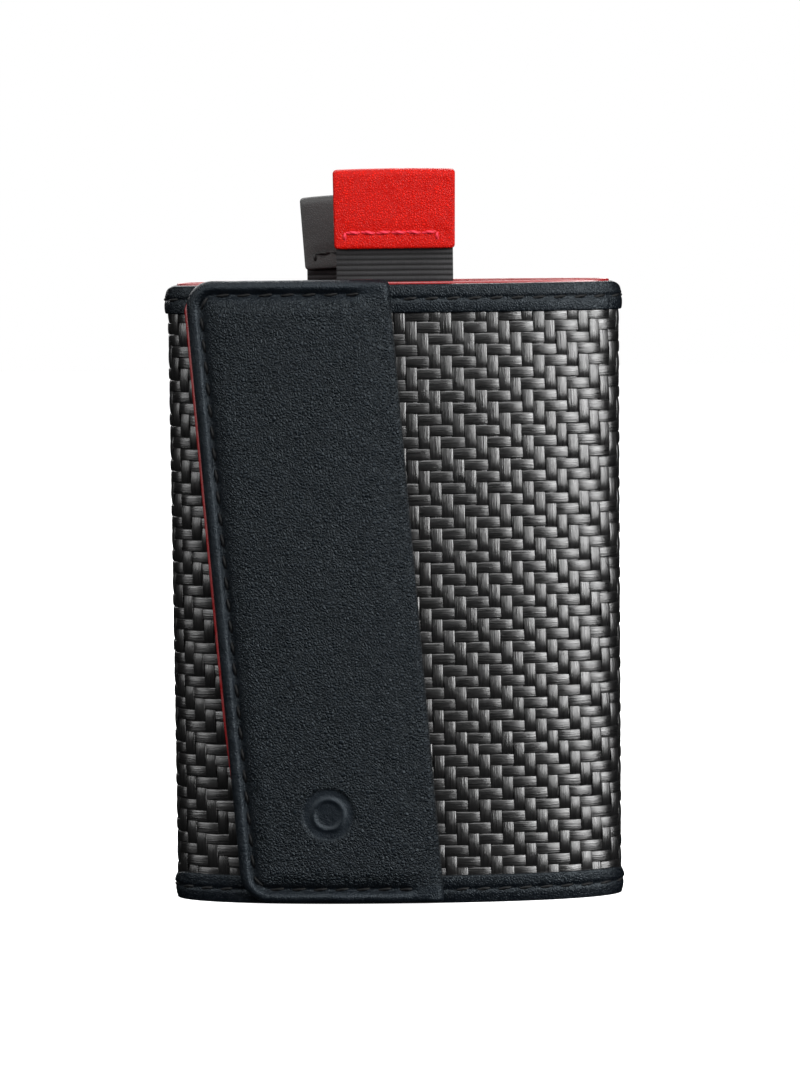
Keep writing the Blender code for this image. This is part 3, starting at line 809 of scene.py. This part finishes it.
def flap_standoff(across, height):
    """The height of the flap's outer face off the sleeve."""
    d = flap_edge_distance(across, height)
    padded = smoothstep(SEAM_INSET - 0.4 * MM, SEAM_INSET + 2.8 * MM, d)
    puff = RIM_HEIGHT + (PUFF_HEIGHT - RIM_HEIGHT) * padded
    groove = GROOVE_DEPTH * np.exp(-(((d - SEAM_INSET) / (0.55 * MM)) ** 2))
    bead = BEAD_HEIGHT * np.exp(-(((d - BEAD_INSET) / (0.6 * MM)) ** 2))
    uneven = 0.035 * MM * wavy(across, height, 4.0 * MM, 3.0) * smoothstep(0, 4 * MM, d)
    to_roll = smoothstep(-5.0 * MM, 0, across)
    face = puff - groove + bead + uneven
    crest = ROLL_STANDOFF + ROLL_RADIUS
    seam_end = smoothstep(-5.5 * MM, -2.2 * MM, across)
    face = face + groove * seam_end
    face = face * (1 - to_roll) + crest * to_roll
    return face - mark_depth(across, height)


def mark_depth(across, height):
    """A plain stamped disc with a raised ring inside it."""
    x = hinge_x(height) + across
    r = np.hypot(x - MARK_X, height - MARK_Z)
    soft = 0.22 * MM
    disc = 1 - smoothstep(MARK_RADIUS - soft, MARK_RADIUS + soft, r)
    ring = np.exp(-(((r - 0.58 * MARK_RADIUS) / (0.35 * MM)) ** 2))
    return MARK_DEPTH * disc - MARK_RING * ring


def rounded_edge(distance, radius):
    """A quarter circle from 0 at an edge to 1 at a radius in from it."""
    t = 1 - np.clip(distance / radius, 0, 1)
    return np.sqrt(np.clip(1 - t * t, 0, 1))


def flap_rows():
    """Heights of the grid rows, closer together near the ends and across the stamped mark."""
    edge = 6.0 * MM
    close = edge * np.sin(np.linspace(0, math.pi / 2, 40))
    ends = edge - close[::-1]
    reach = MARK_RADIUS + 1.0 * MM
    fine = np.arange(MARK_Z - reach, MARK_Z + reach, 0.2 * MM)
    low_part = np.linspace(FLAP_BOTTOM + edge, fine[0], 9)[1:-1]
    middle = np.linspace(fine[-1], FLAP_TOP - edge, 170)[1:-1]
    return np.concatenate([FLAP_BOTTOM + ends, low_part, fine, middle, FLAP_TOP - ends[::-1]])


def flap_leather():
    """The padded leather cover: its face, the roll at the hinge and the underside, as one skin."""
    rows = flap_rows()
    q = np.minimum(FLAP_TOP - rows, rows - FLAP_BOTTOM)
    left = flap_left(rows)
    share = np.concatenate([0.2 * (np.linspace(0, 1, 32) ** 1.35), np.linspace(0.2, 1, 96)[1:]])
    across = left[:, None] * (1 - share[None, :])
    height = rows[:, None] + 0 * across
    end_rim = rounded_edge(q, EDGE_ROUNDING)[:, None]
    rim = rounded_edge(np.maximum(flap_edge_distance(across, height), 0), EDGE_ROUNDING)
    top = FLAP_UNDERSIDE + (flap_standoff(across, height) - FLAP_UNDERSIDE) * rim
    turn = np.linspace(0, math.pi, 19)[1:-1]
    roll_across = ROLL_RADIUS * np.sin(turn)[None, :] * end_rim
    roll_out = ROLL_STANDOFF + ROLL_RADIUS * np.cos(turn)[None, :] * end_rim
    roll_out = roll_out * end_rim + FLAP_UNDERSIDE * (1 - end_rim)
    back_share = np.linspace(0, 1, 24)
    under_across = left[:, None] * back_share[None, :]
    near_roll = 1 - smoothstep(0, 0.06, back_share)[None, :]
    inner_roll = ROLL_STANDOFF - ROLL_RADIUS * end_rim
    under_out = FLAP_UNDERSIDE + (inner_roll - FLAP_UNDERSIDE) * near_roll * end_rim
    across = np.concatenate([across, roll_across, under_across[:, :-1]], 1)
    out = np.concatenate([top, roll_out, under_out[:, :-1]], 1)
    height = rows[:, None] + 0 * across
    points = flap_point(across, height, out)
    uv = np.stack([across / MM, height / MM], -1)
    mesh = grids_mesh([(points, uv)], merge=True)
    add_piece("flap_cover", mesh, BLACK_LEATHER, "flap", ("flap_leather",), 70)


def flap_lining():
    """The red sheet behind the flap. Its edge shows beside the free edge."""
    rows = flap_rows()
    near_top = smoothstep(FLAP_TOP - 4.5 * MM, FLAP_TOP - 2.5 * MM, rows)
    show = 0.5 * MM * smoothstep(12 * MM, 30 * MM, rows) * (1 - near_top)
    left = flap_left(rows) - show + 0.15 * MM
    right = -ROLL_RADIUS - 0.2 * MM
    share = np.concatenate([[0, 0.004, 0.012, 0.02], np.linspace(0.03, 1, 40)])
    across = left[:, None] * (1 - share) + right * share
    q = np.minimum(FLAP_TOP - rows, rows - FLAP_BOTTOM)
    rim = rounded_edge(q, 0.2 * MM)[:, None] * rounded_edge(across - left[:, None] + 0.02 * MM, 0.22 * MM)
    middle = (FLAP_LINING_LOW + FLAP_LINING_HIGH) / 2
    half = (FLAP_LINING_HIGH - FLAP_LINING_LOW) / 2
    height = rows[:, None] + 0 * across
    outer = flap_point(across, height, middle + half * rim)
    inner = flap_point(across, height, middle - half * rim)
    points = np.concatenate([outer, inner[:, ::-1]], 1)
    uv = points[..., [0, 2]] / MM
    mesh = grids_mesh([(points, uv)], merge=True)
    add_piece("flap_red_lining", mesh, RED_LINING, "flap", ("flap_lining",))


def flap_stitches():
    """The black seam in the flap's groove."""
    across, height = seam_line()
    out = flap_standoff(across, height) + 0.14 * MM
    line = flap_point(across, height, out)
    normals = flap_point(across, height, out + MM) - line
    stitches = stitch_row(line, normals)
    stitches_piece("flap_stitches", stitches, BLACK_THREAD, "flap", ("flap_stitching",))


def flap_inner_stitches():
    """The same seam as it shows on the red sheet behind the flap."""
    across, height = seam_line()
    line = flap_point(across, height, FLAP_LINING_LOW + 0.04 * MM)
    inward = line - flap_point(across, height, FLAP_LINING_LOW + MM)
    stitches = stitch_row(line, inward, filled=0.62, proud=0.0)
    stitches_piece("flap_inner_stitches", stitches, RED_THREAD, "flap")


# ---- ribbons and tabs

TAB_LEATHER_THICKNESS = 0.8 * MM
TAB_SEAM_LEVEL = 2.4 * MM
TAB_STITCH_PITCH = 2.2 * MM
BLACK_TAB_LEAN = math.radians(3.2)


def ribbon(name, node, body, distance, path, normal):
    """A run of ribbon along a path in the YZ plane, ribbed across and as wide as a CAD run."""
    low, high = size_of(node)
    ribs = RIB_DEPTH * (np.abs(np.sin(math.pi * distance / RIB_PITCH)) ** 0.7 - 0.5)
    corners = [(-1, 0.0), (-0.97, 1), (-0.5, 1), (0, 1), (0.5, 1), (0.97, 1), (1, 0.0)]
    corners += [(0.97, -1), (0.5, -1), (0, -1), (-0.5, -1), (-0.97, -1)]
    corners = np.array(corners)
    thick = RIBBON_HALF * corners[None, :, 1] + ribs[:, None] * np.sign(corners[None, :, 1])
    x = (low[0] + high[0]) / 2 + (high[0] - low[0]) / 2 * corners[None, :, 0] + 0 * thick
    y = path[:, 0][:, None] + normal[:, 0][:, None] * thick
    z = path[:, 1][:, None] + normal[:, 1][:, None] * thick
    points = np.stack([x, y, z], -1)
    uv = np.stack([x / MM, distance[:, None] / MM + 0 * x], -1)
    mesh = grids_mesh([(points, uv)])
    return add_piece(name, mesh, RIBBON, body, (node,))


def straight_ribbon(name, node, body):
    """A straight run that stands for a CAD run of ribbon."""
    low, high = size_of(node)
    distance = np.arange(low[2], high[2], RIB_PITCH / 10)
    y = (low[1] + high[1]) / 2
    path = np.stack([np.full_like(distance, y), distance], -1)
    normal = np.stack([np.full_like(distance, -1.0), np.zeros_like(distance)], -1)
    return ribbon(name, node, body, distance, path, normal)


def ribbon_bend(name, node, body):
    """The half turn of a ribbon under its cards."""
    low, high = size_of(node)
    middle = (low[1] + high[1]) / 2
    radius = (high[1] - low[1]) / 2 - 0.15 * MM
    turns = np.linspace(math.pi, 2 * math.pi, 90)
    path = np.stack([middle + radius * np.cos(turns), high[2] + radius * np.sin(turns)], -1)
    normal = np.stack([np.cos(turns), np.sin(turns)], -1)
    ribbon(name, node, body, radius * turns, path, normal)


def tab(name, node, material, body, lean):
    """A strip of leather folded over the ribbon's end, with soft edges and a sewn hollow."""
    low, high = size_of(node)
    centre_x = (low[0] + high[0]) / 2
    centre_y = (low[1] + high[1]) / 2
    half_x = (high[0] - low[0]) / 2
    outer = (high[1] - low[1]) / 2
    inner = outer - TAB_LEATHER_THICKNESS
    foot = low[2]
    fold = high[2] - outer
    lip = 0.3 * MM
    rise = np.linspace(fold, foot + lip, 26)
    turns = np.linspace(0, math.pi, 17)
    back = [(outer, z) for z in rise[::-1]]
    front = [(-outer, z) for z in rise]
    crown = [(outer * math.cos(a), fold + outer * math.sin(a)) for a in turns[1:-1]]
    outside = back + crown + front
    inside = [(inner, z) for z in rise[::-1]]
    inside += [(inner * math.cos(a), fold + inner * math.sin(a)) for a in turns[1:-1]]
    inside += [(-inner, z) for z in rise]
    middle = (outer + inner) / 2
    half = (outer - inner) / 2
    under = np.linspace(0, math.pi, 7)[1:-1]
    lip_front = [(-middle - half * math.cos(a), foot + lip - lip * math.sin(a)) for a in under]
    lip_back = [(-a, b) for a, b in reversed(lip_front)]
    section = np.array(outside + lip_front + inside[::-1] + lip_back)
    share = np.linspace(-1, 1, 61)
    share = np.sign(share) * (1 - (1 - np.abs(share)) ** 1.25)
    edge = (1 - np.abs(share)) * half_x
    shrink = 0.28 * MM * (1 - rounded_edge(edge, 0.35 * MM))
    y = section[None, :, 0] + 0 * share[:, None]
    z = section[None, :, 1] + 0 * share[:, None]
    is_outside = np.abs(y) > middle
    level = z - foot
    y = np.where(is_outside, np.sign(y) * (np.abs(y) - shrink[:, None]), y)
    straight = fold - foot
    height = high[2] - foot
    sewn = 0.16 * MM * np.exp(-(((level - TAB_SEAM_LEVEL) / (0.9 * MM)) ** 2))
    sewn = sewn * smoothstep(0.3 * MM, 2 * MM, edge)[:, None]
    swell = 0.12 * MM * np.sin(math.pi * np.clip(level / straight, 0, 1))
    swell = swell * smoothstep(0, 3 * MM, edge)[:, None]
    uneven = 0.04 * MM * wavy(share[:, None] * half_x, level, 2.2 * MM, 1.0 + centre_y / MM)
    y = np.where(is_outside & (level < straight), y + np.sign(y) * (swell - sewn + uneven), y)
    near_fold = smoothstep(straight - 1 * MM, height, level)
    z = z - 0.15 * MM * (share[:, None] ** 2) * near_fold
    soft = 0.45 * MM * (1 - rounded_edge(edge, 0.7 * MM))[:, None]
    z = z + soft * (1 - smoothstep(0, 2 * MM, level)) - soft * near_fold
    x = half_x * (1 - 0.014 * (1 - level / height)) * share[:, None] + 0 * y
    turned_x = x * math.cos(lean) - (z - foot) * math.sin(lean)
    turned_z = foot + x * math.sin(lean) + (z - foot) * math.cos(lean)
    points = np.stack([centre_x + turned_x, centre_y + y, turned_z], -1)
    mesh = grids_mesh([(points, points[..., [0, 2]] / MM)])
    add_piece(name, mesh, material, body, (node,), 70)


def tab_stitches(name, node, tab_node, material, body, left, right, lean):
    """The sewn row across both faces of a tab, with a short stitch down each end."""
    low, high = size_of(tab_node)
    centre_x = (low[0] + high[0]) / 2
    foot = low[2]
    level = TAB_SEAM_LEVEL
    sunk_in = 0.02 * MM
    stitches = []
    count = round((right - left) / TAB_STITCH_PITCH)
    every = (right - left) / count
    for face, outwards in ((low[1] + sunk_in, -1.0), (high[1] - sunk_in, 1.0)):
        out = np.array((0.0, outwards, 0.0))

        def spot(x, z):
            """A point of the face, leaning with the tab."""
            turned_x = x * math.cos(lean) - z * math.sin(lean)
            return np.array([centre_x + turned_x, face, foot + x * math.sin(lean) + z * math.cos(lean)])

        for i in range(count):
            jog = 0.10 * MM * math.sin(i * 2.1)
            start = spot(left + (i + 0.06) * every, level + jog)
            end = spot(left + (i + 0.94) * every, level - jog)
            ground = np.linspace(start, end, STITCH_STEPS)
            stitches.append(stitch_grid(ground, out, sunk=0.2 * MM, proud=0.07 * MM, radius=0.25 * MM))
        for x in (left - 0.1 * MM, right + 0.1 * MM):
            ground = np.linspace(spot(x, level - 0.1 * MM), spot(x, level - 1.1 * MM), STITCH_STEPS)
            stitches.append(stitch_grid(ground, out, 0.22 * MM, 0.02 * MM))
    stitches_piece(name, stitches, material, body, (node,))


def tack(name, node):
    """The bar tack that holds a ribbon's sewn end."""
    low, high = size_of(node)
    out = np.array([0.0, math.copysign(1.0, low[1]), 0.0])
    face = low[1] if low[1] < 0 else high[1]
    stitches = []
    for x in np.arange(low[0], high[0], 0.5 * MM):
        ground = np.linspace((x, face, low[2]), (x + 0.25 * MM, face, high[2]), STITCH_STEPS)
        stitches.append(stitch_grid(ground, out, 0.1 * MM, 0.0, 0.14 * MM))
    stitches_piece(name, stitches, BLACK_THREAD, "sleeve", (node,))


def pull(pocket, colour, material, thread_material, span, lean):
    """A ribbon, in its three runs, and the tab on its end."""
    straight = straight_ribbon(f"{pocket}_ribbon_free", f"{pocket}_ribbon_pull", None)
    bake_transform(straight)
    ribbon_bend(f"{pocket}_ribbon_bend", f"{pocket}_ribbon_loop", f"{pocket}_loop")
    sewn = straight_ribbon(f"{pocket}_ribbon_fixed", f"{pocket}_ribbon_sewn_run", "sleeve")
    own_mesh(sewn)
    tack(f"{pocket}_bar_tack", f"{pocket}_ribbon_tack")
    body = f"{pocket}_pull"
    tab(f"{colour}_pull_tab", f"{colour}_tab", material, body, lean)
    tab_stitches(
        f"{colour}_tab_stitches", f"{colour}_tab_stitching", f"{colour}_tab", thread_material,
        body, span[0], span[1], lean,
    )


# ---- carried-over nodes


def finish_node(node, material):
    """Gives a CAD node that stays visible its finished material."""
    target = frame["nodes"][node]
    target.data.materials.clear()
    target.data.materials.append(material)


# ---- stage, lights and camera

SKY_LOW = 0.01
SKY_HIGH = 0.42
FLOOR_GLOW = 1.2
RIGHT_POWER = 9.4
LEFT_POWER = 3.4
TOP_POWER = 4.5
BACK_POWER = 7.0
FLOOR_SIZE = 3.0
FLOOR_DROP = 0.05 * MM
LENS_MM = 117
SENSOR_MM = 36
CAMERA_DISTANCE = 0.533
CAMERA_RAISED = math.radians(5.9)
CAMERA_ROLL = math.radians(-0.65)
CAMERA_TARGET = Vector((0.0006, 0, 0.0530))


def glowing(name, colour, roughness, glow):
    """A plain surface that also glows."""
    shader = Shader(name, colour, roughness, specular=0.2)
    shader.set("Emission Color", (*colour, 1.0))
    shader.set("Emission Strength", glow)
    return shader.material


def pale_floor():
    """A glowing floor that lights the wallet no further and isn't mirrored in it."""
    bpy.ops.mesh.primitive_plane_add(size=1, location=(0, 0, -FLOOR_DROP))
    plane = bpy.context.object
    plane.name = "floor"
    plane.scale = (FLOOR_SIZE, FLOOR_SIZE, 1)
    plane.data.materials.append(glowing("pale_floor", (0.8, 0.8, 0.8), 0.9, FLOOR_GLOW))
    plane.visible_glossy = False
    plane.visible_diffuse = False


def area_light(name, location, target, size, power):
    """A white rectangular light turned towards a target."""
    data = bpy.data.lights.new(name, "AREA")
    data.shape = "RECTANGLE"
    data.size, data.size_y = size
    data.energy = power
    light = bpy.data.objects.new(name, data)
    light.location = location
    light.rotation_euler = (Vector(target) - Vector(location)).to_track_quat("-Z", "Y").to_euler()
    bpy.context.scene.collection.objects.link(light)


def world(low, high):
    """A soft sky, dimmer below, that reads as a white studio to the eye."""
    made = bpy.data.worlds.new("studio")
    bpy.context.scene.world = made
    made.use_nodes = True
    nodes, links = made.node_tree.nodes, made.node_tree.links
    where = nodes.new("ShaderNodeTexCoord")
    split = nodes.new("ShaderNodeSeparateXYZ")
    level = nodes.new("ShaderNodeMapRange")
    level.inputs["From Min"].default_value = 0.1
    level.inputs["From Max"].default_value = 1.0
    level.inputs["To Min"].default_value = low
    level.inputs["To Max"].default_value = high
    eye = nodes.new("ShaderNodeLightPath")
    choice = nodes.new("ShaderNodeMix")
    choice.inputs["B"].default_value = 1.0
    links.new(where.outputs["Generated"], split.inputs["Vector"])
    links.new(split.outputs["Z"], level.inputs["Value"])
    links.new(level.outputs["Result"], choice.inputs["A"])
    links.new(eye.outputs["Is Camera Ray"], choice.inputs["Factor"])
    background = nodes["Background"]
    background.inputs["Color"].default_value = (1, 1, 1, 1)
    links.new(choice.outputs["Result"], background.inputs["Strength"])


def studio():
    """A white room: a soft sky, a pale floor and four soft lights."""
    bpy.context.scene.view_settings.view_transform = "Standard"
    world(SKY_LOW, SKY_HIGH)
    pale_floor()
    middle = (0, 0, 0.05)
    area_light("right_softbox", (0.56, -0.53, 0.20), middle, (0.42, 0.54), RIGHT_POWER)
    area_light("left_fill", (-0.7, -0.5, 0.35), middle, (0.5, 0.5), LEFT_POWER)
    area_light("top_light", (0.05, -0.42, 0.66), middle, (0.7, 0.5), TOP_POWER)
    area_light("back_light", (-0.12, 0.62, 0.50), middle, (0.8, 0.5), BACK_POWER)


def camera():
    """A long lens in front of the wallet, a little above it."""
    data = bpy.data.cameras.new("camera")
    data.sensor_width = SENSOR_MM
    data.lens = LENS_MM
    view = bpy.data.objects.new("camera", data)
    away = Vector((0, -math.cos(CAMERA_RAISED), math.sin(CAMERA_RAISED)))
    view.location = CAMERA_TARGET + away * CAMERA_DISTANCE
    turn = (CAMERA_TARGET - view.location).to_track_quat("-Z", "Y")
    view.rotation_euler = turn.to_euler()
    view.rotation_euler.rotate_axis("Z", CAMERA_ROLL)
    bpy.context.scene.collection.objects.link(view)
    bpy.context.scene.camera = view


# ---- the whole wallet

studio()
camera()
for half in ("front", "back"):
    weave(half)
    backing(half)
trim("mouth_band", TOP_TRIM_FOOT[2], TRIM_TOP[2], TRIM_TOP[2] - TURNED_HEIGHT, "top_trim", MOUTH_TILT)
trim("foot_band", TRIM_BASE[2], BOTTOM_TRIM_TOP[2], TRIM_BASE[2] + TURNED_HEIGHT, "bottom_trim",
     FOOT_TILT)
lining()
base_board()
divider()
flap_leather()
flap_lining()
flap_stitches()
flap_inner_stitches()
trim_stitches("mouth_stitches", (TOP_TRIM_FOOT[2] + TRIM_TOP[2]) / 2, "top_trim_stitching", MOUTH_TILT)
trim_stitches("foot_stitches", (TRIM_BASE[2] + BOTTOM_TRIM_TOP[2]) / 2, "bottom_trim_stitching", FOOT_TILT)
pull("front", "red", RED_LEATHER, RED_THREAD, (-7.2 * MM, 6.2 * MM), 0.0)
pull("rear", "black", TAB_LEATHER, GREY_THREAD,
     (-7.2 * MM, 6.8 * MM), BLACK_TAB_LEAN)
for shield in ("front_shield_board", "back_shield_board", "flap_board"):
    finish_node(shield, FOIL)
for place in ("lower", "upper"):
    finish_node(f"body_magnet_{place}", PLATED)
    finish_node(f"flap_magnet_{place}", PLATED)
finish_node("hinge_strip", EDGE_LEATHER)
